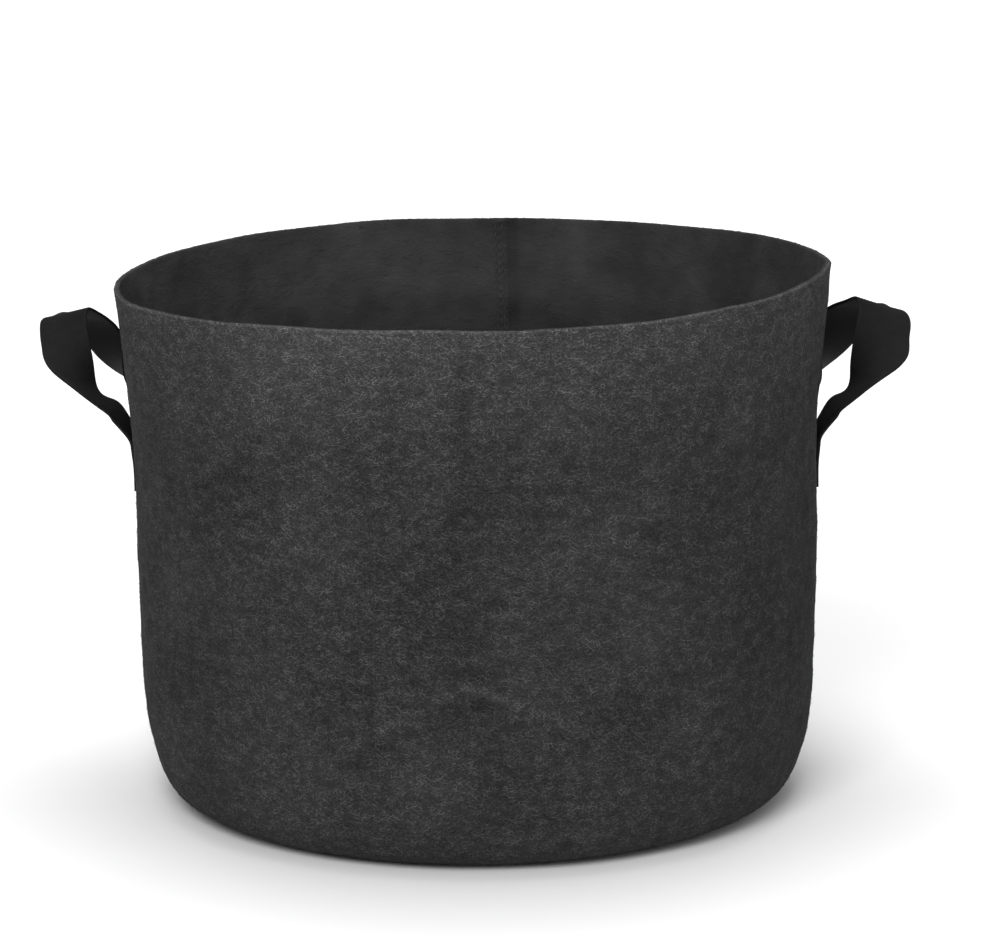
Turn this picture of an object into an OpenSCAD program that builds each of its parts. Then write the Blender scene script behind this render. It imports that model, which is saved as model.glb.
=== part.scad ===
// Fabric grow bag: round felt pot with two webbing handles.
// Millimetres. X to the right, Y to the rear, Z up. Origin at the centre of the underside.

/* [Bag] */
// Radius of the open rim
rim_r = 200; // [196:1:206]
// Height from the floor to the raw rim
bag_h = 300; // [285:1:330]
// Thickness of the felt
felt_t = 3; // [2:0.1:3.6]
// Radius of the sewn-in base, at the seam
base_r = 150; // [146:1:152]
// Height of the seam allowance turned up inside
fin_h = 14; // [10:1:18]

/* [Wall seam] */
// Width of the lap where the two ends of the wall meet
lap_w = 14; // [12:1:24]
// Direction of the free edge of the lap, seen from above
lap_az = 83.6; // [60:0.2:120]
// Spacing of the stitches in the wall and base seams
seam_pitch = 6; // [5:0.5:9]

/* [Handles] */
// Width of the webbing
strap_w = 29; // [24:0.5:32]
// Thickness of the webbing
strap_t = 1.8; // [1.2:0.1:2.4]
// Direction of the middle of each handle behind the side of the bag
handle_az = 10.6; // [9:0.2:16]
// Angle from the middle of a handle to each sewn end
end_half_az = 8.6; // [8:0.2:12]
// Bottom of the sewn ends
end_z0 = 176; // [166:1:184]
// Top of the sewn ends, where the handle bends
end_z1 = 211; // [205:1:216]
// Spacing of the stitches that hold the sewn ends
box_pitch = 4.2; // [4:0.1:6]

/* [Hidden] */
$fn = 96;
FELT = [0.24, 0.24, 0.25];
WEBBING = [0.12, 0.12, 0.14];
THREAD = [0.16, 0.16, 0.17];
// Gap between cloths that touch in life
ply_gap = 0.05;
// How far the parts of one cloth run into each other
weld = 0.5;
thread_t = 0.7;
thread_w = 0.8;
// Bare cloth between one stitch and the next
stitch_gap = 1;

// How far the foot of the wall stands outside the base seam
foot_gap = 4;
// Outer surface of the wall, [radius, height], from the base seam to the rim, as drawn for a rim
// radius of 200, a base radius of 150 and a height of 300
wall_pts = [[154, 0], [162, 1.4], [170, 4.7], [176.4, 9.5], [180.8, 16], [184.2, 25], [187.3, 36],
    [190, 52], [191.6, 76], [192.4, 110], [192.7, 156], [192.6, 186], [192.9, 206], [194, 232],
    [195.9, 258], [198, 281], [200, 300]];
n_pts = len(wall_pts);
foot = wall_pts[0];
top = wall_pts[n_pts - 1];
k_r = (rim_r - base_r - foot_gap) / (top[0] - foot[0]);
k_h = bag_h / top[1];
outer = [for (p = wall_pts) [base_r + foot_gap + (p[0] - foot[0]) * k_r, p[1] * k_h]];

function unit(v) = v / norm(v);
function left_of(v) = [-v[1], v[0]];
// Direction from the outer surface towards the inside at profile point i
function inward(i) = unit(
    left_of(unit(outer[min(i + 1, n_pts - 1)] - outer[i] + [0, 1e-6]))
    + left_of(unit(outer[i] - outer[max(i - 1, 0)] + [0, 1e-6])));
function layer(d, from) = [for (i = [from : n_pts - 1]) outer[i] + d * inward(i)];
function reversed(v) = [for (i = [len(v) - 1 : -1 : 0]) v[i]];
// Outer radius of the wall at height z
function wall_r(z) = lookup(z, [for (p = outer) [p[1], p[0]]]);
// Lean of the wall at height z, degrees outwards from vertical
function wall_lean(z) = atan2(wall_r(z + 3) - wall_r(z - 3), 6);

// The lap and its seams are laid out at this radius
lap_r = 195;
lap_deg = lap_w / lap_r * 180 / PI;
// The lap starts at this point of the profile, above the rounded bottom edge
lap_from = 4;
// Distance of the two rows of the wall seam from the free edge of the lap
row_a = 2.5;
row_b = 6.7;
// The rows start this high and end this far below the rim
row_z0 = 26;
row_end = 8;
// The base seam runs this far below the raw edges of its seam allowance
base_row = 5;

module wall_panel() {
    color(FELT) {
        rotate_extrude()
            polygon(concat(
                reversed(layer(0, 0)),
                [[base_r + ply_gap, 0], [base_r + ply_gap, fin_h], [base_r + felt_t, fin_h],
                    [base_r + felt_t, felt_t + weld]],
                layer(felt_t, 1)));
        rotate([0, 0, lap_az])
            rotate_extrude(angle = lap_deg)
                polygon(concat(reversed(layer(felt_t - weld, lap_from)), layer(2 * felt_t, lap_from)));
    }
}

module base_panel() {
    color(FELT)
        rotate_extrude()
            polygon([[0, 0], [base_r - ply_gap, 0], [base_r - ply_gap, fin_h],
                [base_r - felt_t, fin_h], [base_r - felt_t, felt_t], [0, felt_t]]);
}

// One stitch: a flat ring of thread lying along Z and passing through `depth` of cloth on +X
module stitch(length, depth) {
    translate([0, thread_w / 2, 0])
        rotate([90, 0, 0])
            linear_extrude(thread_w)
                difference() {
                    translate([-depth - thread_t, -length / 2])
                        square([depth + 2 * thread_t, length]);
                    translate([-depth, -length / 2 + thread_t])
                        square([depth, length - 2 * thread_t]);
                }
}

module wall_seam_row(offset) {
    az = lap_az + offset / lap_r * 180 / PI;
    count = floor((bag_h - row_z0 - row_end) / seam_pitch);
    color(THREAD)
        for (i = [0 : count]) {
            z = row_z0 + i * seam_pitch;
            rotate([0, 0, az])
                translate([wall_r(z), 0, z])
                    rotate([0, wall_lean(z), 0])
                        stitch(seam_pitch - stitch_gap, 2 * felt_t);
        }
}

module wall_seam_thread_a() {
    wall_seam_row(row_a);
}

module wall_seam_thread_b() {
    wall_seam_row(row_b);
}

module base_seam_thread() {
    count = floor(2 * PI * base_r / seam_pitch);
    color(THREAD)
        for (i = [0 : count - 1])
            rotate([0, 0, (i + 0.5) * 360 / count])
                translate([base_r + felt_t, 0, fin_h - base_row])
                    rotate([90, 0, 0])
                        stitch(seam_pitch - stitch_gap, 2 * felt_t);
}

// A sewn end lies flat on the wall; half_deg is half its width seen from the axis
module handle_end(az) {
    zs = concat([end_z0], [for (p = outer) if (p[1] > end_z0 + 1 && p[1] < end_z1 - 1) p[1]], [end_z1]);
    half_deg = strap_w / 2 / wall_r(end_z0) * 180 / PI;
    color(WEBBING)
        rotate([0, 0, az - half_deg])
            rotate_extrude(angle = 2 * half_deg)
                polygon(concat(
                    [for (z = zs) [wall_r(z) + ply_gap, z]],
                    [for (z = reversed(zs)) [wall_r(z) + ply_gap + strap_t, z]]));
}

// A run of stitches on a sewn end from a to b, each [across, height]
module stitch_run(az, a, b) {
    d = b - a;
    count = max(2, floor(norm(d) / box_pitch));
    roll = atan2(d[0], d[1]);
    for (i = [0 : count - 1]) {
        p = a + d * (i + 0.5) / count;
        rotate([0, 0, az + p[0] / wall_r(p[1]) * 180 / PI])
            translate([wall_r(p[1]) + strap_t + ply_gap, 0, p[1]])
                rotate([-roll, 0, 0])
                    stitch(norm(d) / count - stitch_gap, strap_t + felt_t);
    }
}

// Box and cross of stitches: the box keeps these distances from the edges of the sewn end, and the
// gaps keep its four sides and the arms of the cross from running into each other
box_side = 4;
box_foot = 5;
box_head = 6;
side_out = 1;
side_gap = 1.5;
arm_gap = 2.6;

module box_stitch(az) {
    w = strap_w / 2 - box_side;
    lo = end_z0 + box_foot;
    hi = end_z1 - box_head;
    mid = (lo + hi) / 2;
    arm_w = w - arm_gap;
    color(THREAD) {
        for (side = [-w, w])
            stitch_run(az, [side, lo], [side, hi]);
        for (z = [lo - side_out, hi + side_out])
            stitch_run(az, [-w + side_gap, z], [w - side_gap, z]);
        for (up = [-1, 1]) {
            stitch_run(az, [-arm_w, mid - up * (hi - mid - arm_gap)], [-side_gap, mid - up * arm_gap]);
            stitch_run(az, [side_gap, mid + up * arm_gap], [arm_w, mid + up * (hi - mid - arm_gap)]);
        }
    }
}

// Free part of a handle, in [out from the chord, along the chord to the rear, height].
// It rises from the front end, leans out, twists over the top and comes down to the rear end.
// The bend at its foot starts this far outside the sewn end and this far above it.
bend_out = 3.6;
bend_up = 1.2;
loop_r = wall_r(end_z1) + strap_t / 2 + bend_out;
chord_r = loop_r * cos(end_half_az);
half_chord = loop_r * sin(end_half_az);
loop_z = end_z1 + bend_up;
apex = [40.7, 5, 55];
apex_dir = unit([-0.42, 1, 0.04]);
apex_tilt = 22.5;
front_path = [[0, -half_chord, 0], [11, -half_chord, 18], [17, -half_chord - 20, 4],
    apex - 26 * apex_dir, apex];
rear_path = [apex, apex + 33 * apex_dir, [36, half_chord + 7, 32], [9, half_chord, 7.5],
    [0, half_chord, 0]];
apex_width = square_to([cos(apex_tilt), 0, -sin(apex_tilt)], apex_dir);
front_widths = [[0, -1, 0], [0, -1, 0], [0.8, 0.55, 1.2], apex_width];
rear_widths = [apex_width, [1.8, -0.5, 1.1], [0, 1, 0], [0, 1, 0]];
loop_steps = 26;
// The selvedge tapers over this width
selvedge = 0.6;

// Part of v that is at right angles to the unit vector d, made unit length
function square_to(v, d) = unit(v - d * (v * d));
function bez4(c, t) = pow(1 - t, 4) * c[0] + 4 * t * pow(1 - t, 3) * c[1]
    + 6 * pow(t * (1 - t), 2) * c[2] + 4 * pow(t, 3) * (1 - t) * c[3] + pow(t, 4) * c[4];
function bez3(c, t) = pow(1 - t, 3) * c[0] + 3 * t * pow(1 - t, 2) * c[1]
    + 3 * t * t * (1 - t) * c[2] + pow(t, 3) * c[3];
function heading(path, t) = unit(bez4(path, min(1, t + 0.001)) - bez4(path, max(0, t - 0.001)));
function section(path, widths, t) =
    let (c = bez4(path, t), d = heading(path, t), w = square_to(bez3(widths, t), d),
        n = cross(d, w) * strap_t / 2, edge = w * strap_w / 2, shoulder = w * (strap_w / 2 - selvedge))
    [c - edge, c - shoulder + n, c + shoulder + n, c + edge, c + shoulder - n, c - shoulder - n];
loop_sections = concat(
    [for (i = [0 : loop_steps]) section(front_path, front_widths, i / loop_steps)],
    [for (i = [1 : loop_steps]) section(rear_path, rear_widths, i / loop_steps)]);
loop_last = len(loop_sections) - 1;

module handle_loop() {
    faces = concat(
        [[0, 1, 2], [0, 2, 3], [0, 3, 4], [0, 4, 5]],
        [for (i = [0 : loop_last - 1]) for (k = [0 : 5])
            let (a = 6 * i + k, b = 6 * i + (k + 1) % 6) each [[a, a + 6, b], [b, a + 6, b + 6]]],
        [for (k = [1 : 4]) [6 * loop_last, 6 * loop_last + k + 1, 6 * loop_last + k]]);
    color(WEBBING)
        rotate([0, 0, handle_az])
            translate([chord_r, 0, loop_z])
                polyhedron([for (s = loop_sections) for (p = s) p], faces);
}

module right_handle_loop() {
    handle_loop();
}

module right_front_handle_end() {
    handle_end(handle_az - end_half_az);
}

module right_rear_handle_end() {
    handle_end(handle_az + end_half_az);
}

module right_front_box_stitch() {
    box_stitch(handle_az - end_half_az);
}

module right_rear_box_stitch() {
    box_stitch(handle_az + end_half_az);
}

module left_handle_loop() {
    mirror([1, 0, 0])
        handle_loop();
}

module left_front_handle_end() {
    mirror([1, 0, 0])
        handle_end(handle_az - end_half_az);
}

module left_rear_handle_end() {
    mirror([1, 0, 0])
        handle_end(handle_az + end_half_az);
}

module left_front_box_stitch() {
    mirror([1, 0, 0])
        box_stitch(handle_az - end_half_az);
}

module left_rear_box_stitch() {
    mirror([1, 0, 0])
        box_stitch(handle_az + end_half_az);
}

wall_panel();
base_panel();
wall_seam_thread_a();
wall_seam_thread_b();
base_seam_thread();
left_handle_loop();
left_front_handle_end();
left_rear_handle_end();
left_front_box_stitch();
left_rear_box_stitch();
right_handle_loop();
right_front_handle_end();
right_rear_handle_end();
right_front_box_stitch();
right_rear_box_stitch();
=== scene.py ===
"""Fabric grow bag: felt pot with two webbing handles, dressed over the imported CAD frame. Metres."""
import math

import bpy
import numpy as np
from mathutils import Matrix, Vector


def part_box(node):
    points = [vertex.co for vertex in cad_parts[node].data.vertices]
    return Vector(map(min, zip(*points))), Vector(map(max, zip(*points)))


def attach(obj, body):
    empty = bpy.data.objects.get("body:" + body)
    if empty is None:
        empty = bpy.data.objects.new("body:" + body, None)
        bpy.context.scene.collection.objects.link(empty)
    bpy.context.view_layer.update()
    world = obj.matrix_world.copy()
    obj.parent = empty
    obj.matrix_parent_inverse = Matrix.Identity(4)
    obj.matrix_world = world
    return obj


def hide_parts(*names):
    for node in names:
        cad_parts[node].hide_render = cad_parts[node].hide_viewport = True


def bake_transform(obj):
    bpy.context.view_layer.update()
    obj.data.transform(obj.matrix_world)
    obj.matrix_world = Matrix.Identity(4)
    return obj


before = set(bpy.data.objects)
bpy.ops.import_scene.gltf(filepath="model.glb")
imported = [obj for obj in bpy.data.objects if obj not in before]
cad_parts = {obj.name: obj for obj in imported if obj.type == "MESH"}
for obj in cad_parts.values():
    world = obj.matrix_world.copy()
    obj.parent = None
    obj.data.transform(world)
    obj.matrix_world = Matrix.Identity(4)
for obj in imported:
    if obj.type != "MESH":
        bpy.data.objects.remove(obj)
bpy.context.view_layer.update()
MM = 0.001
DETAIL = 1.0

# ---------------------------------------------------------------- sizes taken from the frame
wall_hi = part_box("wall_panel")[1]
base_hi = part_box("base_panel")[1]
end_lo, end_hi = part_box("right_front_handle_end")
RIM_R = wall_hi[1]
BAG_H = wall_hi[2]
BASE_R = base_hi[0]
FIN_H = base_hi[2]   # top of the seam allowance turned up inside
END_Z0 = end_lo[2]   # the straps' sewn ends, from here
END_Z1 = end_hi[2]   # up to here

# ---------------------------------------------------------------- cloth sizes, as in the CAD part
FELT = 3 * MM
STRAP_W = 29 * MM
STRAP_T = 1.8 * MM
HANDLE_AZ = math.radians(10.6)    # each handle's middle, turned this far to the rear
END_HALF_AZ = math.radians(8.6)   # from there to each of its sewn ends
LAP_AZ = math.radians(83.6)       # where the wall's end laps over its start
LAP_W = 14 * MM
ROW_A = 2.5 * MM                  # the lap's two rows of stitches, past that edge
ROW_B = 6.7 * MM
SEAM_PITCH = 5 * MM
FRONT = -math.pi / 2

# ---------------------------------------------------------------- sizes of the drape
WALL_R = 190 * MM                 # mean radii that turn angles into distances: round the wall,
LAP_R = 195 * MM                  # at the rear lap,
END_R = 191 * MM                  # and at the sewn ends
RIGHT_FOLD = math.radians(-3)     # where the rim has its soft fold
LEAN = 3.2 * MM                   # how far the foot of the bag sits to the right of the rim
SUNK = 1.0 * MM                   # how far the sewn ends press into the felt
SELVEDGE = 0.45 * MM              # how far the straps' rounded edges stand out
PUCKER_MID = 4.5 * MM             # the lap's puckers, past its edge
CUT_EDGE = 0.7 * MM               # rounding of the raw rim
WALL_FOOT = 7 * MM                # where the wall's inner face starts, up its outline


# ---------------------------------------------------------------- small maths
def smooth(x):
    x = np.clip(x, 0, 1)
    return x * x * (3 - 2 * x)


def unit(v):
    v = np.asarray(v, float)
    return v / np.maximum(np.linalg.norm(v, axis=-1, keepdims=True), 1e-12)


def run_length(line):
    """Distance from a line's first point to each of its points."""
    return np.concatenate([[0], np.cumsum(np.linalg.norm(np.diff(line, axis=0), axis=1))])


def round_axis(r, theta, z):
    """Points at radius r, azimuth theta and height z."""
    return np.stack(np.broadcast_arrays(r * np.cos(theta), r * np.sin(theta), z), -1)


def soften(rows, times):
    """Eases the rows of a table towards their neighbours, in place."""
    for _ in range(times):
        rows[1:-1] = rows[1:-1] * 0.5 + (rows[:-2] + rows[2:]) * 0.25


def catmull(points, per_span):
    """A smooth line through points."""
    p = np.asarray(points, float)
    ext = np.vstack([2 * p[0] - p[1], p, 2 * p[-1] - p[-2]])
    t = np.linspace(0, 1, per_span, endpoint=False)[:, None]
    out = []
    for a, b, c, d in zip(ext[:-3], ext[1:-2], ext[2:-1], ext[3:]):
        out.append(0.5 * (2 * b + (c - a) * t + (2 * a - 5 * b + 4 * c - d) * t**2
                          + (3 * b - a - 3 * c + d) * t**3))
    return np.vstack(out + [p[-1:]])


def by_length(line, step):
    """The same line with points spaced evenly, about step apart."""
    s = run_length(line)
    t = np.linspace(0, s[-1], max(2, int(round(s[-1] / step)) + 1))
    return np.stack([np.interp(t, s, line[:, k]) for k in range(line.shape[1])], 1)


def waves(theta, z, length, seed, count=14):
    """Smooth noise of about unit height over the wall, with waves of about the given length."""
    rng = np.random.default_rng(seed)
    total = np.zeros(np.broadcast(theta, z).shape)
    for _ in range(count):
        wave = length * rng.uniform(0.7, 1.5)
        turn = rng.uniform(0, math.pi)
        around = round(2 * math.pi * RIM_R / wave * math.cos(turn))
        up = 2 * math.pi / wave * math.sin(turn)
        total += np.sin(around * theta + up * z + rng.uniform(0, 2 * math.pi))
    return total / math.sqrt(count / 2)


# ---------------------------------------------------------------- the wall's shape
# Outer surface from the base seam, under the rounded bottom edge and up to the rim:
# (radius, height) in mm
WALL_OUTLINE = [(154, 0), (162, 1.4), (170, 4.7), (176.4, 9.5), (180.8, 16), (184.2, 25),
                (187.3, 36), (190, 52), (191.6, 76), (192.4, 110), (192.7, 156), (192.6, 186),
                (192.9, 206), (194, 232), (195.9, 258), (198, 281), (200, 300)]
profile = by_length(catmull(np.array(WALL_OUTLINE) * MM, 12), 0.5 * MM)
profile_s = run_length(profile)
WALL_LEN = profile_s[-1]
profile_t = unit(np.gradient(profile, axis=0))


def wall_r(z):
    return np.interp(z, profile[:, 1], profile[:, 0])


def length_at(z):
    return np.interp(z, profile[:, 1], profile_s)


def heading_at(s):
    """Which way the profile runs: its outward and upward parts."""
    return np.interp(s, profile_s, profile_t[:, 0]), np.interp(s, profile_s, profile_t[:, 1])


def angle_gap(theta, centre):
    return np.mod(theta - centre + math.pi, 2 * math.pi) - math.pi


def from_front(theta):
    """Distance round the wall from the middle of its front, in mm."""
    return angle_gap(theta, FRONT) * WALL_R / MM


def past_lap(theta):
    """Distance round the wall past the edge of the rear lap, in metres."""
    return angle_gap(theta, LAP_AZ) * LAP_R


# Creases pressed into the wall, all in mm: the line they follow, as (distance round from the front,
# height above the floor), then their half width and how far they stand out
CREASES = [
    ([(-7, 285), (-6, 230), (-10, 180), (-12, 128)], 12, -0.8),
    ([(-66, 73), (-36, 90), (-5, 108)], 2.8, 1.6),
    ([(-5, 108), (8, 104), (24, 96)], 2.4, 3.2),
    ([(-62, 64), (-32, 81), (-3, 98), (24, 86)], 8, -1.1),
    ([(37, 176), (38, 162)], 2.6, 1.6),
    ([(20, 222), (48, 221)], 2.6, 1.2),
    ([(22, 217), (46, 216)], 4, -0.6),
    ([(31, 172), (38, 180)], 6, 0.9),
    ([(14, 125), (43, 132), (74, 129)], 5, 0.8),
    ([(14, 118), (43, 125), (74, 122)], 6, -0.6),
    ([(-182, 201), (-158, 214), (-132, 226)], 6, 0.9),
    ([(-180, 194), (-156, 206), (-130, 218)], 7, -0.7),
    ([(-99, 53), (-80, 64)], 5, 0.8),
    ([(96, 190), (118, 170), (126, 140)], 8, -0.7),
    ([(150, 245), (190, 232), (216, 236)], 8, 0.6),
    ([(520, 70), (548, 96), (590, 104)], 7, 0.9),
    ([(-420, 84), (-450, 100), (-488, 92)], 7, 0.8),
    ([(560, 210), (610, 196)], 9, -0.8),
    ([(-340, 150), (-372, 170), (-420, 172)], 9, 0.7),
]


def crease_height(theta, z):
    """Height of the pressed creases, in metres, at points of the wall."""
    up = z / MM
    along = from_front(theta) + 3 * (1 - (z / BAG_H)**3)
    total = np.zeros(np.broadcast(theta, z).shape)
    for points, width, height in CREASES:
        line = catmull(points, 8)
        best = np.full(total.shape, np.inf)
        for a, b in zip(line[:-1], line[1:]):
            d = b - a
            t = np.clip(((along - a[0]) * d[0] + (up - a[1]) * d[1]) / (d @ d), 0, 1)
            best = np.minimum(best, (along - a[0] - t * d[0])**2 + (up - a[1] - t * d[1])**2)
        total += height * np.exp(-best / (2 * (width * 0.6)**2))
    return total * MM


def outside_tone_and_shade(theta, z):
    """How much paler (+) or darker (-) the outside of the felt is coloured than usual, as a share,
    with painted shade towards both sides and painted light and shade on the creases.
    """
    along = from_front(theta)
    up = z / MM
    tone = 0.42 * smooth((up - 205) / 90) * (0.86 + 0.14 * np.cos(along / 60 + 0.8))
    tone += 0.14 * smooth((up - 275) / 25)
    tone -= 0.16 * np.exp(-((along + 17) / 24)**2 - ((up - 150) / 42)**2)
    tone -= 0.09 * np.exp(-((along + 5) / 9)**2) * smooth((up - 120) / 60)
    # painted shade: darker towards both sides, where the wall turns away from the light
    tone -= 0.15 * smooth((along - 110) / 60) * smooth((330 - along) / 120)
    tone -= 0.16 * smooth((along - 190) / 60) * smooth((430 - along) / 100)
    tone -= 0.11 * smooth((-110 - along) / 70) * smooth((along + 430) / 100)
    tone += 0.07 * smooth((90 - up) / 60)
    tone -= 0.08 * np.exp(-((along + 4) / 60)**2 - ((up - 62) / 26)**2)
    tone += 0.05 * waves(theta, z, 0.07, 71) + 0.045 * waves(theta, z * 1.6, 0.026, 72, 24)
    # painted light and shade on the creases: raised ones paler, pressed-in ones darker
    return tone + 0.14 * crease_height(theta, z) / MM


def inside_tone_and_shade(theta, z):
    """The same for the inside: painted shade at the sides and lower down, a painted shadow beside the
    lap's edge, darker at the rim, and random mottling.
    """
    past = past_lap(theta) / MM
    side = np.cos(theta)
    up = z / MM
    # painted shade at both sides of the inside
    tone = -0.17 * smooth((-side - 0.36) / 0.34)
    tone -= 0.15 * smooth((side - 0.5) / 0.2) + 0.08 * smooth(side / 0.3)
    # painted shadow beside the edge of the rear lap
    tone -= 0.16 * np.exp(-((past + 4) / 3.5)**2)
    tone -= 0.22 * smooth((up - 268) / 30) * (1 - smooth(np.abs(side) / 0.5))
    # painted shade lower down inside the bag
    tone -= 0.34 * smooth((266 - up) / 30) * (1 - 0.6 * smooth(np.abs(side) / 0.7))
    return tone + 0.06 * waves(theta, z, 0.06, 73) + 0.04 * waves(theta, z, 0.02, 74, 24)


def handle_ends():
    """(name, azimuth) of the four sewn ends."""
    for side in ("right", "left"):
        for end, sign in (("front", -1), ("rear", 1)):
            az = HANDLE_AZ + sign * END_HALF_AZ
            yield f"{side}_{end}", az if side == "right" else math.pi - az


def calm(theta, z):
    """0 where the straps are sewn on, rising to 1 over the next 22 mm."""
    keep = np.ones(np.broadcast(theta, z).shape)
    for _, az in handle_ends():
        across = np.abs(angle_gap(theta, az)) * END_R - STRAP_W / 2
        up = np.abs(z - (END_Z0 + END_Z1) / 2) - (END_Z1 - END_Z0) / 2
        outside = np.hypot(np.maximum(across, 0), np.maximum(up, 0))
        keep *= smooth(outside / (22 * MM))
    return keep


def settle(points):
    """The bag stands a little askew: its lower part sits to the right of the rim."""
    out = np.array(points, float)
    out[..., 0] += LEAN * (1 - np.clip(out[..., 2] / BAG_H, 0, 1)**3)
    return out


def rim_tilt(theta):
    """How far the rim stands above its mean height, in metres."""
    tilt = 4.8 * np.cos(theta) + 1.2 * np.cos(3 * theta)
    tilt -= 0.3 * np.cos(2 * theta) + 0.5 * np.sin(2 * theta)
    return (tilt - 0.2 + 0.2 * waves(theta, 0 * theta, 0.09, 22, 8)) * MM


def swell(theta, z):
    """How far the felt stands out of the plain profile, in metres."""
    free = smooth(z / 0.03)
    slow = 0.8 * waves(theta, z * 0.6, 0.30, 3, 10)
    mid = 0.42 * waves(theta, z, 0.085, 5)
    fine = 0.14 * waves(theta, z, 0.024, 8, 22)
    top = smooth((z - 0.12) / 0.18)
    fold = 1.6 * top * np.exp(-np.abs(angle_gap(theta, RIGHT_FOLD)) * WALL_R / (8 * MM))
    total = (slow * (0.35 + 0.65 * top) + mid + fine + fold) * MM
    total = total + 0.55 * crease_height(theta, z)
    still = calm(theta, z)
    return total * free * still - 1.1 * SUNK * (1 - still)**3


def lap_offsets(theta):
    """(outer, inner) shift of the wall's faces near the rear seam, where one end laps the other."""
    past = past_lap(theta)
    step = -0.6 * FELT
    after = 1 - smooth((past - LAP_W) / (16 * MM))
    outer = step * smooth((past - LAP_W + 0.4 * MM) / (1.6 * MM)) * after
    inner = step * smooth((past + 2.6 * MM) / (3.6 * MM)) * after
    return outer, inner


def wall_points(theta, s, depth):
    """Points of the felt wall: azimuth, distance up the profile, depth below the outer face."""
    theta, s, depth = np.broadcast_arrays(theta, s, depth)
    r = np.interp(s, profile_s, profile[:, 0])
    z = np.interp(s, profile_s, profile[:, 1])
    tr, tz = heading_at(s)
    outer, inner = lap_offsets(theta)
    up = smooth((s - 0.02) / 0.02)
    share = depth / FELT
    pucker = 0.6 * MM * np.cos(2 * math.pi * z / SEAM_PITCH)
    pucker = pucker * np.exp(-((past_lap(theta) - PUCKER_MID) / (3.5 * MM))**2)
    push = swell(theta, z) - depth + up * (outer * (1 - share) + (inner + pucker) * share)
    r = r + tz * push
    z = z - tr * push
    z = z + rim_tilt(theta) * smooth(z / BAG_H)
    return settle(round_axis(r, theta, z))


def allowance_lean(theta, z):
    """How far the base's turned-up seam allowance leans outwards."""
    return 0.8 * MM * waves(theta, 0 * theta, 0.09, 41, 8) * (z / FIN_H)**2


# ---------------------------------------------------------------- mesh helpers
def make_mesh(name, verts, quads, uvs=None, tone=None, triangles=()):
    """A smooth-shaded object: points, faces as point numbers, and a UV and a tone per point."""
    mesh = bpy.data.meshes.new(name)
    verts = np.asarray(verts, float).reshape(-1, 3)
    corners = np.concatenate([np.ravel(quads), np.ravel(triangles)]).astype(int)
    starts = np.concatenate([np.arange(len(quads)) * 4,
                             len(quads) * 4 + np.arange(len(triangles)) * 3])
    mesh.vertices.add(len(verts))
    mesh.vertices.foreach_set("co", verts.ravel())
    mesh.loops.add(len(corners))
    mesh.loops.foreach_set("vertex_index", corners)
    mesh.polygons.add(len(starts))
    mesh.polygons.foreach_set("loop_start", starts)
    mesh.polygons.foreach_set("use_smooth", np.full(len(starts), True))
    mesh.update(calc_edges=True)
    mesh.validate()
    if uvs is not None:
        layer = mesh.uv_layers.new(name="UVMap")
        layer.data.foreach_set("uv", np.asarray(uvs, float).reshape(-1, 2)[corners].ravel())
    if tone is not None:
        layer = mesh.attributes.new("tone", "FLOAT", "POINT")
        layer.data.foreach_set("value", np.asarray(tone, float).ravel())
    obj = bpy.data.objects.new(name, mesh)
    bpy.context.scene.collection.objects.link(obj)
    return obj


def grid_faces(rows, cols, closed_cols=False, closed_rows=False):
    """Quads of a grid of points stored row by row."""
    i = np.arange(rows if closed_rows else rows - 1)[:, None]
    j = np.arange(cols if closed_cols else cols - 1)[None, :]
    i2, j2 = (i + 1) % rows, (j + 1) % cols
    return np.stack([i * cols + j, i * cols + j2, i2 * cols + j2, i2 * cols + j], -1).reshape(-1, 4)


def end_caps(rows, cols, first=0):
    """Faces that close both ends of a tube: ladders across its end rings, starting at first."""
    i = np.arange(cols // 2 - 1)
    ladder = (first + np.stack([i, i + 1, -2 - i, -1 - i], -1)) % cols
    return np.vstack([ladder[:, ::-1], ladder + (rows - 1) * cols])


def join(objs):
    """Joins meshes into the first."""
    bpy.ops.object.select_all(action="DESELECT")
    for o in objs:
        o.select_set(True)
    bpy.context.view_layer.objects.active = objs[0]
    bpy.ops.object.join()


def on_bag(obj, slot, *replaced):
    """A piece that rides on the bag, in place of the CAD parts named."""
    if replaced:
        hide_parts(*replaced)
    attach(obj, "bag")


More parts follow.
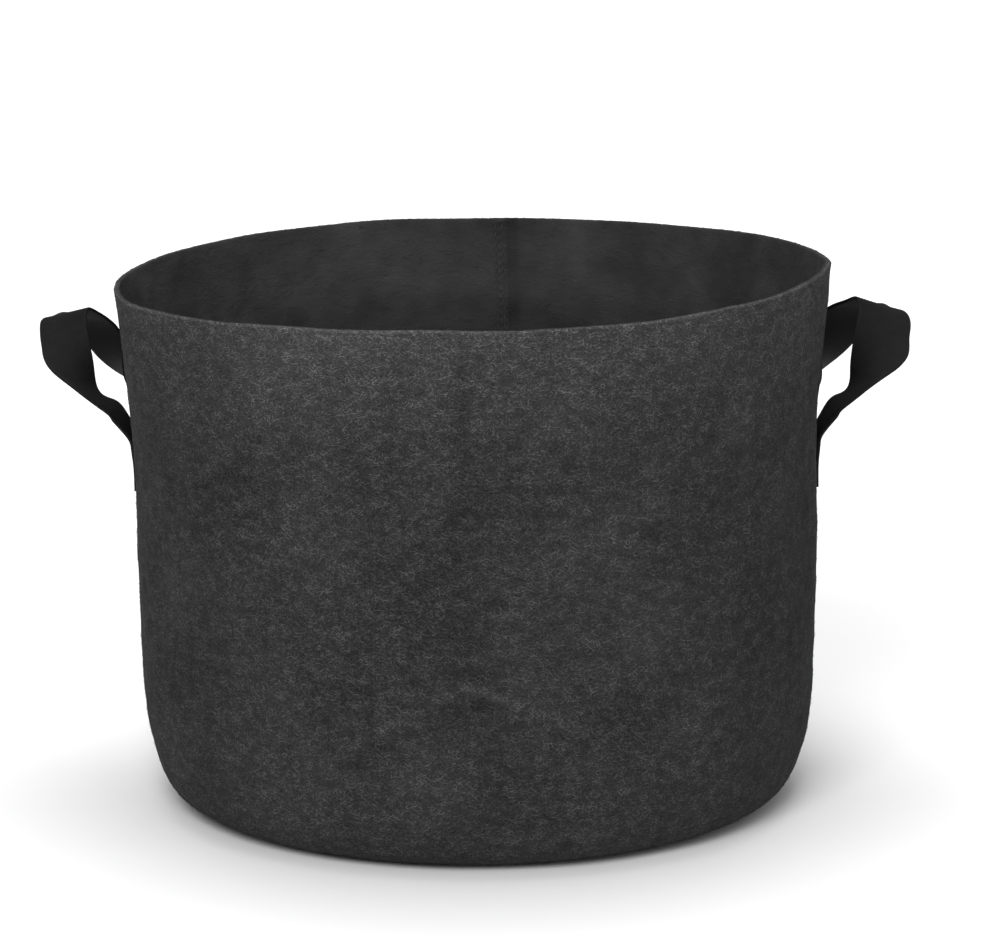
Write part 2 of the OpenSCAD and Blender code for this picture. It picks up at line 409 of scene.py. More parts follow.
# ---------------------------------------------------------------- materials
class Nodes:
    """Short names for building a node material."""

    def __init__(self, name):
        self.mat = bpy.data.materials.new(name)
        self.mat.use_nodes = True
        self.tree = self.mat.node_tree
        self.tree.nodes.clear()
        out = self.tree.nodes.new("ShaderNodeOutputMaterial")
        self.bsdf = self.tree.nodes.new("ShaderNodeBsdfPrincipled")
        self.link(self.bsdf.outputs[0], out.inputs[0])

    def link(self, a, b):
        self.tree.links.new(a, b)

    def add(self, kind, inputs=None, **settings):
        node = self.tree.nodes.new("ShaderNode" + kind)
        for key, value in settings.items():
            setattr(node, key, value)
        self.feed(node, inputs or {})
        return node

    def feed(self, node, inputs):
        """Sets a node's inputs by name or number, each from a value or another node's output."""
        for key, value in inputs.items():
            if hasattr(value, "is_linked"):
                self.link(value, node.inputs[key])
            else:
                node.inputs[key].default_value = value

    def math(self, op, a, b=0.0, c=0.0):
        return self.add("Math", {0: a, 1: b, 2: c}, operation=op).outputs[0]

    def mix(self, fac, a, b):
        return self.add("Mix", {0: fac, 6: a, 7: b}, data_type="RGBA").outputs[2]

    def mapping(self, vector, scale, shift=(0, 0, 0)):
        return self.add("Mapping", {"Vector": vector, "Scale": scale,
                                    "Location": shift}).outputs[0]

    def noise(self, vector, scale, detail=3.0, rough=0.55):
        return self.add("TexNoise", {"Vector": vector, "Scale": scale, "Detail": detail,
                                     "Roughness": rough}).outputs[0]

    def ramp(self, value, low, high):
        return self.add("MapRange", {0: value, 1: low, 2: high}).outputs[0]

    def weighted(self, *pairs):
        """The sum of values, each times its weight."""
        total = self.math("MULTIPLY", *pairs[0])
        for value, weight in pairs[1:]:
            total = self.math("ADD", total, self.math("MULTIPLY", value, weight))
        return total

    def tinted(self, tone, dark, light):
        """Base colour from dark to light by tone, scaled by the tone stored on the points, which on
        the wall and straps also carries painted shade and painted highlights.
        """
        own = self.math("ADD", 1.0, self.add("Attribute", attribute_name="tone").outputs["Fac"])
        colour = self.add("VectorMath", {0: self.mix(tone, dark, light), "Scale": own},
                          operation="SCALE")
        self.link(colour.outputs[0], self.bsdf.inputs["Base Color"])

    def bump(self, height, strength, distance):
        node = self.add("Bump", {"Height": height, "Strength": strength, "Distance": distance})
        self.link(node.outputs[0], self.bsdf.inputs["Normal"])


def grey(value, blue=0.0):
    """A grey with a share of extra blue."""
    return (value, value * (1 + blue * 0.3), value * (1 + blue), 1)


def strands(n, uv, cell, seed, spread):
    """Bent fibres, one in each of many flat scattered cells: bright on a fibre and 0 off it."""
    flat = 1.4
    place = n.mapping(uv, (1 / cell, flat / cell, 1), (seed * 3.1, seed * 1.7, 0))
    cells = n.add("TexVoronoi", {"Vector": place, "Scale": 1.0}, voronoi_dimensions="2D")
    own = n.add("SeparateColor", {0: cells.outputs["Color"]}).outputs
    gap = n.add("VectorMath", {0: place, 1: cells.outputs["Position"]}, operation="SUBTRACT")
    gap = n.add("VectorMath", {0: gap.outputs[0], 1: (1, 1 / flat, 1)}, operation="MULTIPLY")
    angle = n.math("MULTIPLY", n.math("SUBTRACT", own[0], 0.5), spread)
    turned = n.add("VectorRotate", {"Vector": gap.outputs[0], "Angle": angle},
                   rotation_type="Z_AXIS")
    split = n.add("SeparateXYZ", {0: turned.outputs[0]}).outputs
    curl = n.math("MULTIPLY", n.math("SUBTRACT", own[1], 0.5), 1.4)
    curve = n.math("MULTIPLY", curl, n.math("MULTIPLY", split[0], split[0]))
    bent = n.math("ADD", split[1], curve)
    thin = n.ramp(n.math("ABSOLUTE", bent), 0.27 * MM / cell, 0.08 * MM / cell)
    ends = n.ramp(n.math("ABSOLUTE", split[0]), 0.60, 0.30)
    bright = n.math("ADD", 0.22, n.math("MULTIPLY", n.math("POWER", own[2], 3.0), 1.5))
    return n.math("MULTIPLY", n.math("MULTIPLY", thin, ends), bright)


def felt_material(name, dark, light, fibre_amount):
    """Needle-punched felt: matted fibres lying in all directions; the UVs are in metres."""
    n = Nodes(name)
    uv = n.add("TexCoord").outputs["UV"]
    clump = n.ramp(n.noise(n.mapping(uv, (130, 170, 1)), 1.0, 3, 0.6), 0.40, 0.62)
    grain = n.ramp(n.noise(n.mapping(uv, (900, 1700, 1)), 1.0, 2, 0.7), 0.25, 0.75)
    broad = n.ramp(n.noise(uv, 11, 3), 0.3, 0.7)
    pale = strands(n, uv, 2.7 * MM, 1, 2.1)
    for cell, seed, spread in ((2.0 * MM, 2, 2.6), (4.4 * MM, 3, 1.5), (1.6 * MM, 4, 3.1)):
        pale = n.math("MAXIMUM", pale, strands(n, uv, cell, seed, spread))
    pits = strands(n, uv, 2.1 * MM, 5, 2.4)
    pale = n.math("MULTIPLY", pale, n.math("ADD", 0.38, n.math("MULTIPLY", clump, 0.70)))
    tone = n.weighted((grain, 0.18), (clump, 0.05), (broad, 0.08), (pale, fibre_amount),
                      (pits, -0.25 * fibre_amount))
    n.tinted(n.math("MAXIMUM", tone, 0.0), dark, light)
    n.bsdf.inputs["Roughness"].default_value = 0.95
    n.bsdf.inputs["Specular IOR Level"].default_value = 0.05
    n.bsdf.inputs["Sheen Weight"].default_value = 0.01
    n.bsdf.inputs["Sheen Roughness"].default_value = 0.55
    n.bsdf.inputs["Sheen Tint"].default_value = (0.8, 0.82, 0.85, 1)
    n.bump(n.weighted((grain, 0.4), (pale, 0.8), (clump, 0.6)), 0.6, 0.6 * MM)
    return n.mat


def webbing_material():
    """Black polypropylene webbing: ribbed plain weave, paler along the selvedges in a painted
    highlight.
    """
    n = Nodes("webbing")
    uv = n.add("TexCoord").outputs["UV"]
    split = n.add("SeparateXYZ", {0: uv})
    across, along = split.outputs[0], split.outputs[1]
    warp_n = n.math("MULTIPLY", across, 1 / (1.2 * MM))
    weft_n = n.math("MULTIPLY", along, 1 / (1.7 * MM))
    odd = n.math("MODULO", n.math("FLOOR", n.math("ADD", warp_n, 100)), 2)
    rib = n.math("ABSOLUTE", n.math("SINE", n.math("MULTIPLY", warp_n, math.pi)))
    over = n.math("SINE", n.math("MULTIPLY", n.math("ADD", weft_n, odd), math.pi))
    weave = n.math("MULTIPLY", rib, n.math("ADD", 0.65, n.math("MULTIPLY", over, 0.35)))
    threads = n.ramp(n.noise(n.mapping(uv, (1500, 700, 1)), 1.0, 3, 0.75), 0.30, 0.70)
    cloud = n.ramp(n.noise(uv, 120, 3), 0.3, 0.7)
    # painted highlight along both selvedges, where the rounded edges catch the light
    edge = n.ramp(n.math("ABSOLUTE", across), STRAP_W * 0.44, STRAP_W * 0.51)
    tone = n.weighted((weave, 0.25), (threads, 0.45), (cloud, 0.22), (edge, 0.3))
    n.tinted(tone, grey(0.003, 0.08), grey(0.013, 0.04))
    n.bsdf.inputs["Roughness"].default_value = 0.7
    n.bsdf.inputs["Specular IOR Level"].default_value = 0.06
    n.bump(n.weighted((weave, 1.0), (threads, 0.35)), 0.4, 0.3 * MM)
    return n.mat


def thread_material():
    """Twisted polyester thread: fine diagonal plies along each stitch."""
    n = Nodes("thread")
    uv = n.add("TexCoord").outputs["UV"]
    around, along = n.add("SeparateXYZ", {0: uv}).outputs[:2]
    twist = n.weighted((along, 5.2 / MM), (around, 4 * math.pi))
    ply = n.math("ABSOLUTE", n.math("SINE", twist))
    tone = n.weighted((ply, 0.6), (n.noise(uv, 900), 0.4))
    n.link(n.mix(tone, grey(0.014, 0.08), grey(0.045, 0.06)), n.bsdf.inputs["Base Color"])
    n.bsdf.inputs["Roughness"].default_value = 0.5
    n.bsdf.inputs["Specular IOR Level"].default_value = 0.2
    n.bsdf.inputs["Sheen Weight"].default_value = 0.03
    n.bump(ply, 0.5, 0.1 * MM)
    return n.mat


def fibre_material(name, dark, light):
    """Loose fibres: each has its own tone."""
    n = Nodes(name)
    tone = n.add("Attribute", attribute_name="tone").outputs["Fac"]
    spot = n.noise(n.add("TexCoord").outputs["Object"], 900, 1)
    shade = n.math("ADD", tone, n.math("MULTIPLY", n.math("SUBTRACT", spot, 0.5), 0.3))
    n.link(n.mix(shade, dark, light), n.bsdf.inputs["Base Color"])
    n.bsdf.inputs["Roughness"].default_value = 0.8
    n.bsdf.inputs["Specular IOR Level"].default_value = 0.1
    return n.mat


FELT_OUT = felt_material("felt_outside", grey(0.0085, 0.02), grey(0.090), 0.60)
# the inside felt is coloured paler than the outside: painted light that makes up for the shade inside
# the bag
FELT_IN = felt_material("felt_inside", grey(0.038), grey(0.075), 0.26)
WEBBING = webbing_material()
THREAD = thread_material()
FIBRE = fibre_material("loose_fibre", grey(0.012), grey(0.12))


# ---------------------------------------------------------------- felt wall
def wall_theta(count):
    """Azimuths round the wall, with columns 0.6 mm apart over the rear lap."""
    theta = np.linspace(-math.pi, math.pi, count, endpoint=False)
    lap = LAP_AZ + np.arange(-4, 18, 0.6) * MM / LAP_R
    return np.sort(np.concatenate([theta, lap + 1e-5]))


def wall_rows(outer, inner):
    """(distance up the profile, depth) of each row: up the outside, over the rim, down the inside.

    Also the numbers of the rim's first row and of the row at the middle of the cut edge.
    """
    edge = CUT_EDGE
    rows = [(s, 0.0) for s in np.linspace(0, WALL_LEN, outer)[:-1]]
    rim = len(rows)
    rows += [(WALL_LEN - edge, 0.0), (WALL_LEN - edge * 0.3, edge * 0.2), (WALL_LEN, edge)]
    rows += [(WALL_LEN, FELT * k) for k in (0.4, 0.5, 0.6)]
    rows += [(WALL_LEN, FELT - edge), (WALL_LEN - edge * 0.3, FELT - edge * 0.2),
             (WALL_LEN - edge, FELT)]
    rows += [(s, FELT) for s in np.linspace(WALL_LEN - 2.5 * MM, WALL_FOOT, inner)]
    s, depth = np.array(rows).T[:, :, None]
    return s, depth, rim, rim + 4


def wall_allowance(theta):
    """The wall's own seam allowance, turned up inside round the base's."""
    rows = []
    for out, z in ((3.3 * MM, 3.6 * MM), (3.1 * MM, FIN_H * 0.6), (3.2 * MM, FIN_H),
                   (0.2 * MM, FIN_H), (0.1 * MM, FIN_H * 0.5), (0.1 * MM, 0.2 * MM)):
        r = BASE_R + out + allowance_lean(theta, z)
        uneven = 0.5 * MM * waves(theta, 0 * theta, 0.05, 42, 10) if z >= FIN_H else 0
        rows.append(round_axis(r, theta, z + uneven))
    return settle(rows)


def build_wall():
    theta = wall_theta(int(840 * DETAIL))
    s, depth, rim, mid_edge = wall_rows(int(210 * DETAIL), int(180 * DETAIL))
    pts = wall_points(theta[None, :], s, depth)
    ragged = 0.10 * MM * waves(theta[None, :], depth * 40, 0.006, 31, 24)
    pts[..., 2] += np.where(np.abs(s - WALL_LEN) < CUT_EDGE / 2, ragged, 0)
    pts = np.vstack([pts, wall_allowance(theta)])
    rows, cols = pts.shape[:2]
    uv = np.stack(np.broadcast_arrays(theta[None, :] * WALL_R, run_length(pts[:, 0])[:, None]), -1)
    faces = grid_faces(rows, cols, closed_cols=True, closed_rows=True)
    z = np.clip(pts[..., 2], 0, BAG_H)
    around = np.broadcast_to(theta, z.shape)
    outer_row = (np.arange(rows) < mid_edge)[:, None]
    tone = np.where(outer_row, outside_tone_and_shade(around, z), inside_tone_and_shade(around, z))
    # painted highlight along the rim's rounded outer edge, up to the middle of the cut edge
    tone[rim:mid_edge] += 0.55
    obj = make_mesh("wall_felt", pts, faces, uv, tone)
    fix_seam_uv(obj, faces, uv, cols)
    obj.data.materials.append(FELT_OUT)
    obj.data.materials.append(FELT_IN)
    slot = np.zeros(len(faces), int)
    slot[mid_edge * cols:] = 1
    obj.data.polygons.foreach_set("material_index", slot)
    on_bag(obj, "felt", "wall_panel")


def fix_seam_uv(obj, faces, uv, cols):
    """Faces that close the ring take the far side's u plus one full turn."""
    loop_uv = uv.reshape(-1, 2)[faces.ravel()].reshape(-1, 4, 2)
    closing = (faces % cols).max(1) - (faces % cols).min(1) > 1
    turn = 2 * math.pi * WALL_R
    low = loop_uv[..., 0] < 0
    loop_uv[..., 0] = np.where(closing[:, None] & low, loop_uv[..., 0] + turn, loop_uv[..., 0])
    obj.data.uv_layers[0].data.foreach_set("uv", loop_uv.ravel())


build_wall()


# ---------------------------------------------------------------- base
def build_base():
    theta = np.linspace(-math.pi, math.pi, int(480 * DETAIL), endpoint=False)
    hub, turn_up = 2 * MM, BASE_R - 6 * MM   # the flat of the disc runs between these radii
    rows = []
    for r in np.linspace(hub, turn_up, int(60 * DETAIL)):
        uneven = waves(theta, np.full_like(theta, r * 3), 0.09, 51, 10) * smooth(r / 0.1)
        rows.append((r, np.maximum(FELT + 0.5 * MM * uneven, 2 * MM)))
    for inset, z in ((4 * MM, 4 * MM), (3.1 * MM, 7 * MM), (3 * MM, FIN_H * 0.8),
                     (2.9 * MM, FIN_H), (0.2 * MM, FIN_H), (0.1 * MM, FIN_H * 0.6),
                     (0.1 * MM, 2 * MM), (0.6 * MM, 0.3 * MM), (2 * MM, 0.0)):
        uneven = 0.6 * MM * waves(theta, 0 * theta, 0.05, 52, 10) if z >= FIN_H else 0
        rows.append((BASE_R - inset + allowance_lean(theta, z), z + uneven))
    for r in np.linspace(turn_up, hub, int(40 * DETAIL)):
        uneven = waves(theta, np.full_like(theta, r * 3), 0.03, 53, 10)
        rows.append((r, np.clip(0.12 * MM * (1 + uneven), 0, 0.5 * MM)))
    pts = settle([round_axis(r, theta, z) for r, z in rows])
    count, cols = pts.shape[:2]
    uv = pts[..., :2].copy()
    uv[..., 1] += pts[..., 2]
    faces = np.vstack([grid_faces(count, cols, closed_cols=True), end_caps(count, cols)])
    obj = make_mesh("base_felt", pts, faces, uv)
    obj.data.materials.append(FELT_IN)
    on_bag(obj, "felt", "base_panel")


build_base()


# ---------------------------------------------------------------- handles
LOOP_R = wall_r(END_Z1) + STRAP_T / 2 + 3.6 * MM    # the strap's middle at its two bends
CHORD_R = LOOP_R * math.cos(END_HALF_AZ)            # the hinge line's distance from the axis
HALF_CHORD = LOOP_R * math.sin(END_HALF_AZ)
LOOP_Z = END_Z1 + 1.2 * MM
TOP_TILT = math.radians(22.5)                       # the strap's slope at the top of the loop


def bezier(points, t):
    """A Bezier curve of any degree at values t."""
    p = np.array(points, float)
    k = len(p) - 1
    basis = [math.comb(k, i) * t**i * (1 - t)**(k - i) for i in range(k + 1)]
    return sum(b[:, None] * q for b, q in zip(basis, p))


def square_to(v, d):
    return unit(v - d * np.sum(v * d, -1, keepdims=True))


def loop_line():
    """Middle line and width direction of the free strap: [out, along to the rear, up] in metres."""
    apex = np.array([40.7, 5, 55])
    apex_dir = unit([-0.42, 1, 0.04])
    apex_w = square_to(np.array([math.cos(TOP_TILT), 0, -math.sin(TOP_TILT)]), apex_dir)
    half = HALF_CHORD / MM
    front = [[0, -half, 0], [11, -half, 18], [17, -half - 20, 4], apex - 26 * apex_dir, apex]
    rear = [apex, apex + 33 * apex_dir, [36, half + 7, 32], [9, half, 7.5], [0, half, 0]]
    t = np.linspace(0, 1, 60)
    line = np.vstack([bezier(front, t), bezier(rear, t)[1:]])
    wide = np.vstack([bezier([[0, -1, 0], [0, -1, 0], [0.8, 0.55, 1.2], apex_w], t),
                      bezier([apex_w, [1.8, -0.5, 1.1], [0, 1, 0], [0, 1, 0]], t)[1:]])
    return line * MM, wide


def sewn_lift(z):
    """How far the sewn ends stand off the wall: sunk in below, lifting towards the bend."""
    return -SUNK + (SUNK + 0.8 * MM) * smooth((z - END_Z1 + 24 * MM) / (22 * MM))


def strap_line():
    """The whole strap of the right handle: [point, width direction] rows."""
    rot = np.array([[math.cos(HANDLE_AZ), math.sin(HANDLE_AZ), 0],
                    [-math.sin(HANDLE_AZ), math.cos(HANDLE_AZ), 0], [0, 0, 1]])
    line, wide = loop_line()
    keep = slice(9, len(line) - 9)   # the bends are left to the smooth line through the rest
    loop = (line + [CHORD_R, 0, LOOP_Z])[keep] @ rot
    loop_w = wide[keep] @ rot

    def sewn(sign):
        az = HANDLE_AZ + sign * END_HALF_AZ
        z = np.linspace(END_Z0, END_Z1 - 3 * MM, 14)
        pts = round_axis(wall_r(z) + STRAP_T / 2 + sewn_lift(z), az, z)
        w = np.array([-math.sin(az), math.cos(az), 0]) * sign
        return pts, np.broadcast_to(w, pts.shape)

    front, front_w = sewn(-1)
    rear, rear_w = sewn(1)
    pts = np.vstack([front, loop, rear[::-1]])
    w = np.vstack([front_w, loop_w, rear_w[::-1]])
    return catmull(np.hstack([pts, w])[::2], 6)


def even(line, step):
    """Resamples [point, width] rows evenly along the points only, and eases kinks."""
    s = run_length(line[:, :3])
    t = np.linspace(0, s[-1], int(s[-1] / step) + 1)
    out = np.stack([np.interp(t, s, line[:, k]) for k in range(line.shape[1])], 1)
    soften(out, 10)
    return out, t


# How each handle's outer and inner edge leave the plain strap: share of its length, then
# millimetres out and up for the outer edge, and out and up for the inner edge
STRAP_SHAPE = {
    "left": [(0.20, 0, 0, 0, 0), (0.26, 1.6, 0, 0, 0), (0.31, 1.8, 0, 0, 0),
             (0.36, 0, 0, 0, 0), (0.41, -1.9, 0, 0, 0), (0.45, -1.3, 0.5, 0, 0),
             (0.485, 0.8, 2.6, 0, 1.0), (0.515, 0, 3.0, 0, 0.8), (0.545, 0, 0.8, 0, 0),
             (0.60, 0, 0, 0, 0), (0.67, 0, -0.8, 0, 0), (0.74, 0, -2.2, 0, -0.6),
             (0.79, 0, 0, 0, 0)],
    "right": [(0.20, 0, 0, 0, 0), (0.26, 1.2, 0, -1.0, 0), (0.32, 3.4, -0.3, -2.0, 0),
              (0.36, 3.6, 0.5, -1.6, 1.5), (0.41, 0.6, 2.0, -1.2, 3.0), (0.46, 2.0, 3.4, -0.3, 4.2),
              (0.50, 1.4, 4.4, 0, 4.8), (0.54, 0, 3.2, -0.6, 4.0), (0.58, 0, 2.5, -2.6, 5.4),
              (0.62, 0, 2.5, -3.8, 6.0), (0.70, 0, 2.3, -3.8, 3.0), (0.75, 0, 0.8, -2.4, 0.8),
              (0.79, 0, 0, 0, 0)],
}


def strap_shape(side, share, across):
    """Moves of a strap's points, in metres; across is -1 at its inner edge and 1 at its outer."""
    knots = np.array(STRAP_SHAPE[side], float)
    move = np.stack([np.interp(share, knots[:, 0], knots[:, k]) for k in range(1, 5)], 1)
    soften(move, 7)
    outer = (0.5 + 0.5 * across)[None, :]
    out = move[:, 0:1] * outer + move[:, 2:3] * (1 - outer)
    up = move[:, 1:2] * outer + move[:, 3:4] * (1 - outer)
    return np.stack([out, 0 * out, up], -1) * MM


def strap_section():
    """The strap's outline as (across, through), flat with rounded selvedges."""
    half, thick = STRAP_W / 2 - SELVEDGE, STRAP_T / 2
    flat = [(half * q, -thick) for q in np.linspace(-1, 1, 15)]
    turn = np.linspace(0.5, math.pi - 0.5, 4)
    edge = [(half + SELVEDGE * math.sin(a), -thick * math.cos(a)) for a in turn]
    side = np.array(flat + edge)
    return np.vstack([side, -side])


def build_strap(side):
    line, along = even(strap_line(), 1.2 * MM / DETAIL)
    pts, w = line[:, :3], line[:, 3:]
    heading = unit(np.gradient(pts, axis=0))
    w = square_to(w, heading)
    n = np.cross(heading, w)
    ring = strap_section()
    verts = pts[:, None] + ring[None, :, 0:1] * w[:, None] + ring[None, :, 1:2] * n[:, None]
    share = along / along[-1]
    verts += strap_shape(side, share, ring[:, 0] / ring[:, 0].max())
    if side == "left":
        verts = verts * [-1, 1, 1]
    verts = settle(verts)
    rows, cols = verts.shape[:2]
    uv = np.stack(np.broadcast_arrays(ring[None, :, 0], along[:, None]), -1)
    faces = np.vstack([grid_faces(rows, cols, closed_cols=True), end_caps(rows, cols, cols - 2)])
    shade = -0.55 * smooth((share - 0.50) / 0.05)   # the rear leg is in the handle's own shade
    obj = make_mesh(f"{side}_handle_strap", verts, faces, uv, np.repeat(shade, cols))
    obj.data.materials.append(WEBBING)
    name = f"{side}_handle"
    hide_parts(f"{name}_loop", f"{side}_front_handle_end", f"{side}_rear_handle_end")
    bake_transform(obj)


for side in ("right", "left"):
    build_strap(side)


# ---------------------------------------------------------------- stitches
def stitch_mesh(name, starts, ends, normals, radius, bulge):
    """Thread capsules, one from each start to its end, arching out along normals."""
    t = np.array([0, 0.12, 0.3, 0.5, 0.7, 0.88, 1.0])
    girth = np.array([0.25, 0.8, 1, 1, 1, 0.8, 0.25]) * radius
    lift = np.array([-1.0, -0.1, 0.75, 1.0, 0.75, -0.1, -1.0]) * bulge
    along = unit(ends - starts)
    side = unit(np.cross(along, normals))
    centre = (starts[:, None] + (ends - starts)[:, None] * t[None, :, None]
              + normals[:, None] * lift[None, :, None])
    a = np.linspace(0, 2 * math.pi, 8, endpoint=False)
    ring = (np.cos(a)[None, None, :, None] * side[:, None, None]
            + np.sin(a)[None, None, :, None] * normals[:, None, None] * 0.8)
    verts = centre[:, :, None] + ring * girth[None, :, None, None]
    count, rows, cols = verts.shape[:3]
    one = np.vstack([grid_faces(rows, cols, closed_cols=True), end_caps(rows, cols)])
    faces = (one[None] + (np.arange(count) * rows * cols)[:, None, None]).reshape(-1, 4)
    length = np.linalg.norm(ends - starts, axis=1)
    turns = (a / (2 * math.pi))[None, None, :]
    uv = np.stack(np.broadcast_arrays(turns, (length[:, None] * t[None, :])[..., None]), -1)
    obj = make_mesh(name, verts, faces, uv)
    obj.data.materials.append(THREAD)
    return obj


def surface_normal(theta, z):
    """Outward direction of the plain wall."""
    tr, tz = heading_at(length_at(z))
    return round_axis(tz, theta, -tr)


def run_points(a, b, pitch, fill=0.78):
    """Start and end of each stitch from a to b, which are (across, height) pairs."""
    a, b = np.array(a, float), np.array(b, float)
    count = max(1, int(round(np.linalg.norm(b - a) / pitch)))
    k = np.arange(count)[:, None]
    gap = (1 - fill) / 2
    return a + (b - a) * (k + gap) / count, a + (b - a) * (k + 1 - gap) / count


def build_box_stitch(label, az):
    """A box and its two diagonals, through the strap's sewn end and the wall."""
    half = STRAP_W / 2 - 4 * MM
    low, high = END_Z0 + 5 * MM, END_Z1 - 9.5 * MM
    corners = [(-half, low), (half, low), (half, high), (-half, high)]
    lines = list(zip(corners, corners[1:] + corners[:1])) + list(zip(corners[:2], corners[2:]))
    rng = np.random.default_rng(int(az * 1000) % 9973)
    starts, ends = [], []
    for a, b in lines:
        p, q = run_points(a, b, 3.6 * MM)
        starts.append(p + rng.normal(0, 0.12 * MM, p.shape))
        ends.append(q + rng.normal(0, 0.12 * MM, q.shape))
    starts, ends = np.vstack(starts), np.vstack(ends)

    def place(flat, out, lift):
        across, z = flat.T
        r = wall_r(z) + out + lift * sewn_lift(z)
        return settle(round_axis(r, az + across / END_R, z))

    outside = STRAP_T + 0.1 * MM
    normals = surface_normal(az, (starts[:, 1] + ends[:, 1]) / 2)
    front = stitch_mesh(f"{label}_box_stitch_face", place(starts, outside, 1),
                        place(ends, outside, 1), normals, 0.42 * MM, 0.25 * MM)
    back = stitch_mesh(f"{label}_box_stitch_back", place(starts, -FELT, 0),
                       place(ends, -FELT, 0), -normals, 0.42 * MM, 0.3 * MM)
    join([front, back])
    front.name = f"{label}_box_stitches"
    on_bag(front, "thread", f"{label}_box_stitch")


for label, az in handle_ends():
    build_box_stitch(label, az)


def build_wall_seam(node, offset):
    """One row of stitches up the rear lap."""
    z = np.arange(22 * MM, BAG_H - 6 * MM, SEAM_PITCH)
    theta = LAP_AZ + offset / LAP_R
    rng = np.random.default_rng(int(offset * 1e5))
    starts, ends, normals = [], [], []
    for depth, sign in ((0.0, 1), (FELT, -1)):
        shift = rng.normal(0, 0.15 * MM, len(z)) / LAP_R
        starts.append(wall_points(theta + shift, length_at(z + 0.5 * MM), depth))
        ends.append(wall_points(theta + shift, length_at(z + 4.4 * MM), depth))
        normals.append(surface_normal(theta, z) * sign)
    obj = stitch_mesh(node.replace("thread", "stitches"), np.vstack(starts), np.vstack(ends),
                      np.vstack(normals), 0.33 * MM, 0.2 * MM)
    on_bag(obj, "thread", node)


build_wall_seam("wall_seam_thread_a", ROW_A)
build_wall_seam("wall_seam_thread_b", ROW_B)


def build_base_seam():
    """One row of stitches round the turned-up seam allowance, on both of its faces."""
    count = 170
    a = (np.arange(count) + 0.1) * 2 * math.pi / count
    b = (np.arange(count) + 0.9) * 2 * math.pi / count
    z = FIN_H - 5 * MM
    starts, ends, normals = [], [], []
    for r, sign in ((BASE_R - 3.1 * MM, -1), (BASE_R + 3.2 * MM, 1)):
        for store, t in ((starts, a), (ends, b)):
            store.append(settle(round_axis(r + allowance_lean(t, z), t, z)))
        normals.append(round_axis(sign, a, 0))
    obj = stitch_mesh("base_seam_stitches", np.vstack(starts), np.vstack(ends), np.vstack(normals),
                      0.45 * MM, 0.3 * MM)
    on_bag(obj, "thread", "base_seam_thread")


build_base_seam()


# ---------------------------------------------------------------- loose fibres
def fibres(name, lines, width, tone):
    """Closed three-sided fibres that taper to both ends, along lines (count, points, 3)."""
    count, points = lines.shape[:2]
    heading = unit(np.gradient(lines, axis=1))[:, 1:-1]
    side = square_to(np.array([0.3, -0.2, 1.0]), heading)
    other = np.cross(heading, side)
    girth = width[:, None, None] / 2 * np.sin(np.linspace(0, math.pi, points))[None, 1:-1, None]
    turn = np.arange(3) * 2 * math.pi / 3
    rings = [lines[:, 1:-1] + girth * (side * math.cos(a) + other * math.sin(a)) for a in turn]
    rings = np.stack(rings, 2).reshape(count, -1, 3)
    verts = np.concatenate([rings, lines[:, :1], lines[:, -1:]], 1)
    start = (np.arange(count) * verts.shape[1])[:, None, None]
    tube = grid_faces(points - 2, 3, closed_cols=True)
    root, tip, last = (points - 2) * 3, (points - 2) * 3 + 1, (points - 3) * 3
    sides = ((0, 1), (1, 2), (2, 0))
    ends = np.array([[k, j, root] for j, k in sides]
                    + [[last + j, last + k, tip] for j, k in sides])
    obj = make_mesh(name, verts, (tube + start).reshape(-1, 4), None,
                    np.repeat(tone, verts.shape[1]), (ends + start).reshape(-1, 3))
    obj.data.materials.append(FIBRE)
    on_bag(obj, "felt")


def surface_fibres(name, count, depth, seed, lift, size, light):
    """Fibres matted on one face of the wall, mostly lying round it and some at any angle."""
    rng = np.random.default_rng(seed)
    theta = rng.uniform(-math.pi, math.pi, count)
    s = rng.uniform(0.02, WALL_LEN - 2 * MM, count)
    turn = rng.normal(0, 0.55, count)
    turn += np.where(rng.random(count) < 0.35, rng.uniform(-1.5, 1.5, count), 0)
    length = rng.lognormal(math.log(size), 0.45, count)
    bend = rng.normal(0, 0.3, count)
    k = np.linspace(-0.5, 0.5, 5)[None, :]
    angle = turn[:, None] + bend[:, None] * k * 2
    th = theta[:, None] + length[:, None] * k * np.cos(angle) / WALL_R
    ss = np.clip(s[:, None] + length[:, None] * k * np.sin(angle), 0.01, WALL_LEN)
    arch = 1 - (2 * k)**2
    high = rng.uniform(0.2, 1.0, count)[:, None] * arch * lift + 0.05 * MM
    lines = wall_points(th, ss, depth + (high if depth > 0 else -high))
    tone = np.clip(rng.beta(1.6, 3.2, count) * light, 0, 1)
    fibres(name, lines, rng.uniform(0.10, 0.24, count) * MM, tone)


def rim_fuzz():
    """Stray fibres standing out of the raw cut rim."""
    rng = np.random.default_rng(77)
    count = int(4400 * DETAIL)
    theta = rng.uniform(-math.pi, math.pi, count)
    share = rng.uniform(0.1, 0.9, count)
    root = wall_points(theta, WALL_LEN - 0.4 * MM, share * FELT)
    out = round_axis(1, theta, 0)
    tang = round_axis(1, theta + math.pi / 2, 0)
    go = unit(rng.normal(0, 0.7, (count, 1)) * out + rng.normal(0, 1.1, (count, 1)) * tang
              + np.array([0, 0, 1.0]) * rng.uniform(0.1, 1.1, (count, 1)))
    curl = rng.normal(0, 0.5, (count, 1, 3))
    length = rng.lognormal(math.log(0.85 * MM), 0.45, count)[:, None, None]
    k = np.linspace(0, 1, 5)[None, :, None]
    lines = root[:, None] + length * (go[:, None] * k + curl * k * k * 0.6)
    tone = rng.beta(2, 3, count) * (1.1 - 0.8 * share)
    fibres("rim_fibres", lines, rng.uniform(0.07, 0.16, count) * MM, tone)


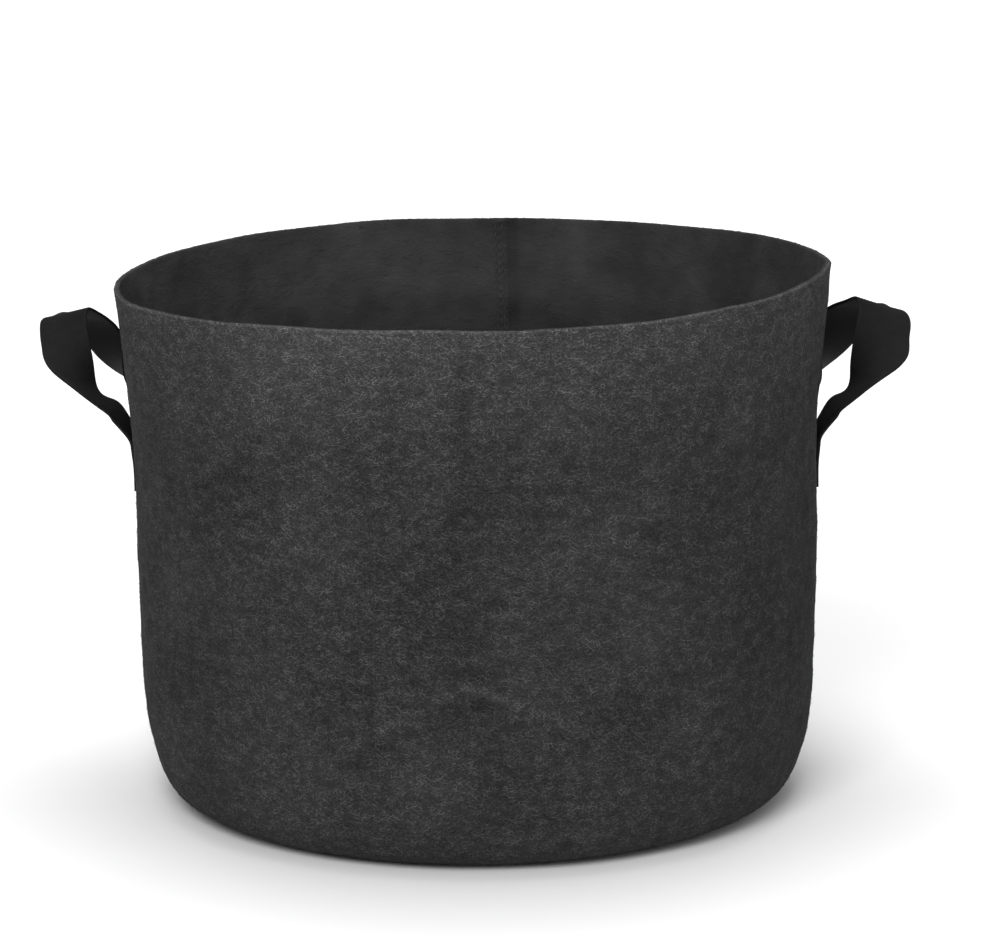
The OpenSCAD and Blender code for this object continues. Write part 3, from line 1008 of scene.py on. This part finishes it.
surface_fibres("outside_fibres", int(10500 * DETAIL), 0.0, 61, 0.35 * MM, 3.6 * MM, 1.0)
surface_fibres("inside_fibres", int(4000 * DETAIL), FELT, 62, 0.3 * MM, 3.2 * MM, 0.35)
rim_fuzz()


# ---------------------------------------------------------------- studio
def studio():
    """A white floor that turns pure white away from the bag, a white world and three lights."""
    floor = make_mesh("floor", [[-6, -6, 0], [6, -6, 0], [6, 8, 0], [-6, 8, 0]], [[0, 1, 2, 3]])
    n = Nodes("studio_floor")
    place = n.add("TexCoord").outputs["Object"]
    n.link(n.mix(n.noise(place, 3, 2), grey(0.88), grey(0.9)), n.bsdf.inputs["Base Color"])
    n.bsdf.inputs["Roughness"].default_value = 0.7
    far = n.ramp(n.add("VectorMath", {0: place}, operation="LENGTH").outputs["Value"], 0.5, 2.5)
    seen = n.add("LightPath").outputs["Is Camera Ray"]
    glow = n.math("MULTIPLY", n.math("MULTIPLY", far, 0.6), seen)
    n.link(glow, n.bsdf.inputs["Emission Strength"])
    n.bsdf.inputs["Emission Color"].default_value = (1, 1, 1, 1)
    floor.data.materials.append(n.mat)
    world = bpy.data.worlds.new("studio")
    bpy.context.scene.world = world
    world.use_nodes = True
    tree = world.node_tree
    path = tree.nodes.new("ShaderNodeLightPath")
    strength = tree.nodes.new("ShaderNodeMapRange")
    strength.inputs["To Min"].default_value = 0.5    # as a light
    strength.inputs["To Max"].default_value = 1.05   # as the camera sees it
    tree.links.new(path.outputs["Is Camera Ray"], strength.inputs[0])
    tree.links.new(strength.outputs[0], tree.nodes["Background"].inputs[1])
    tree.nodes["Background"].inputs[0].default_value = (1, 1, 1, 1)
    bpy.context.scene.view_settings.view_transform = "Standard"

    def area(name, place, target, size, power):
        light = bpy.data.lights.new(name, "AREA")
        light.size = size
        light.energy = power
        obj = bpy.data.objects.new(name, light)
        bpy.context.scene.collection.objects.link(obj)
        obj.location = place
        obj.rotation_euler = (Vector(target) - Vector(place)).to_track_quat("-Z", "Y").to_euler()

    area("key", (-0.6, -2.95, 2.3), (0, 0, 0.15), 1.6, 90)
    area("fill", (2.4, -2.2, 1.4), (0, 0, 0.15), 2.0, 6)
    area("top", (0, 0.4, 2.6), (0, 0, 0.1), 1.8, 45)


def camera():
    """A long lens 2.5 m in front of the bag and a little above it; angles in radians."""
    distance, elevation = 2.5, 0.2195
    yaw, pitch, roll = 0.0065, 0.2065, -0.0049
    cam = bpy.data.cameras.new("camera")
    cam.sensor_width = 36
    cam.lens = 158.1
    obj = bpy.data.objects.new("camera", cam)
    bpy.context.scene.collection.objects.link(obj)
    forward = Vector((math.sin(yaw) * math.cos(pitch), math.cos(yaw) * math.cos(pitch),
                      -math.sin(pitch)))
    right = Vector((math.cos(yaw), -math.sin(yaw), 0))
    up = right.cross(forward)
    rolled_right = right * math.cos(roll) + up * math.sin(roll)
    rolled_up = -right * math.sin(roll) + up * math.cos(roll)
    turn = Matrix((rolled_right, rolled_up, -forward)).transposed()
    place = Vector((0, -distance * math.cos(elevation), distance * math.sin(elevation) + BAG_H / 2))
    obj.matrix_world = Matrix.Translation(place) @ turn.to_4x4()
    bpy.context.scene.camera = obj


studio()
camera()
